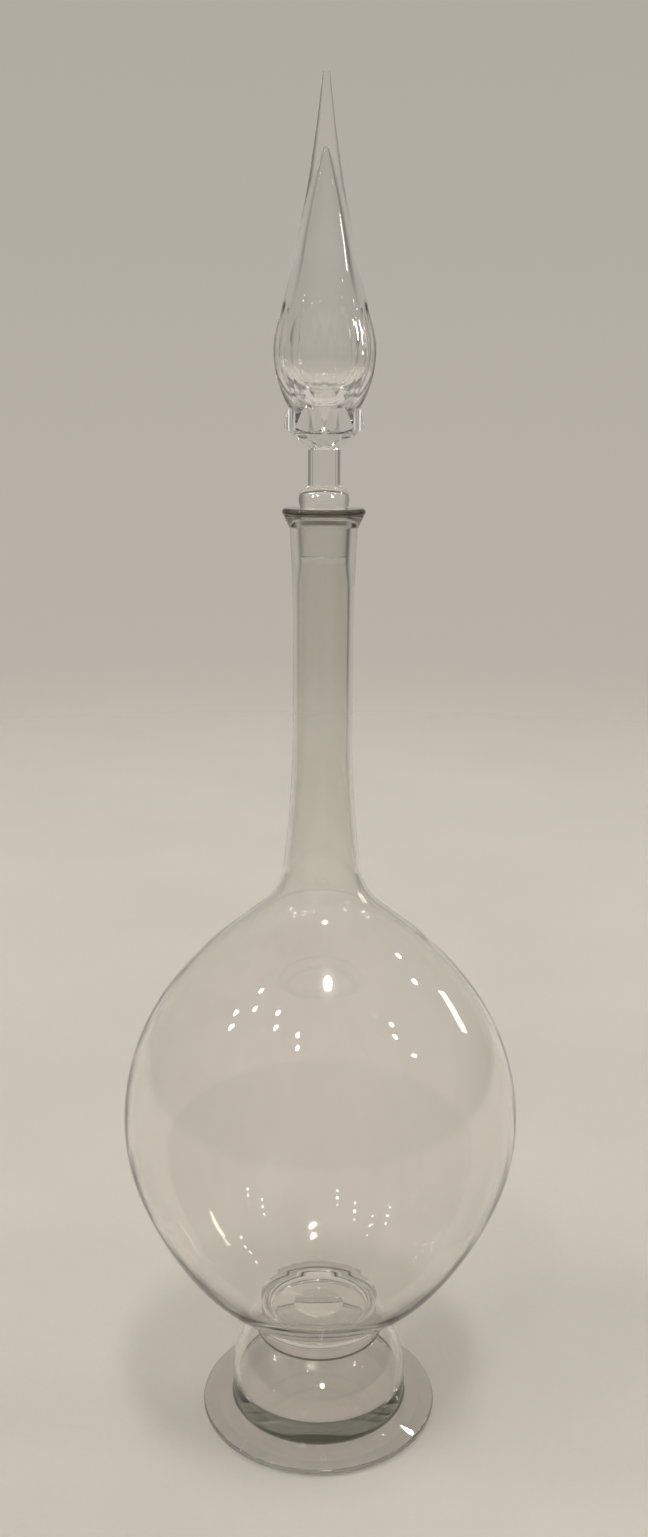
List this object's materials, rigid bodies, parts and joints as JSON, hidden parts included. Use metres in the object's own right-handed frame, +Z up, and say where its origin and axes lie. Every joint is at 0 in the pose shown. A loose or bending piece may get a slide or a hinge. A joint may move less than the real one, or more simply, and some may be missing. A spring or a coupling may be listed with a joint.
{
  "type": "stoppered apothecary show carboy",
  "caption": "Tall footed apothecary jar of clear blown glass with a globe body, a long neck and a panel-cut spire stopper.",
  "frame": {"origin": "centre of the foot's standing face, on the surface that the carboy stands on", "axes": "+Z up the bottle's axis towards the tip of the stopper; +Y away from the viewer; every piece is turned about Z"},
  "size_m": [0.2722, 0.272, 0.9],
  "materials": {
    "blown_glass": "fire-polished, clear with a faint grey-green cast",
    "thick_glass": "fire-polished, grey-green where the glass is thick",
    "ground_glass": "ground, translucent white",
    "cut_glass": "cut and polished, colourless"
  },
  "bodies": {
    "bottle": {"foot": "blown_glass", "base_disc": "thick_glass", "knop": "blown_glass", "waist": "blown_glass", "globe": "blown_glass", "neck": "blown_glass", "mouth_collar": "blown_glass", "lip_ring": "thick_glass"},
    "stopper": {"ground_plug": "ground_glass", "stopper_shoulder": "cut_glass", "stem": "cut_glass", "cut_flange": "cut_glass", "spire": "cut_glass"}
  },
  "joints": [
    {"name": "stopper_lift", "type": "slide", "parent": "bottle", "child": "stopper", "axis": [0, 0, 1], "range_m": [0, 0.1]}
  ]
}
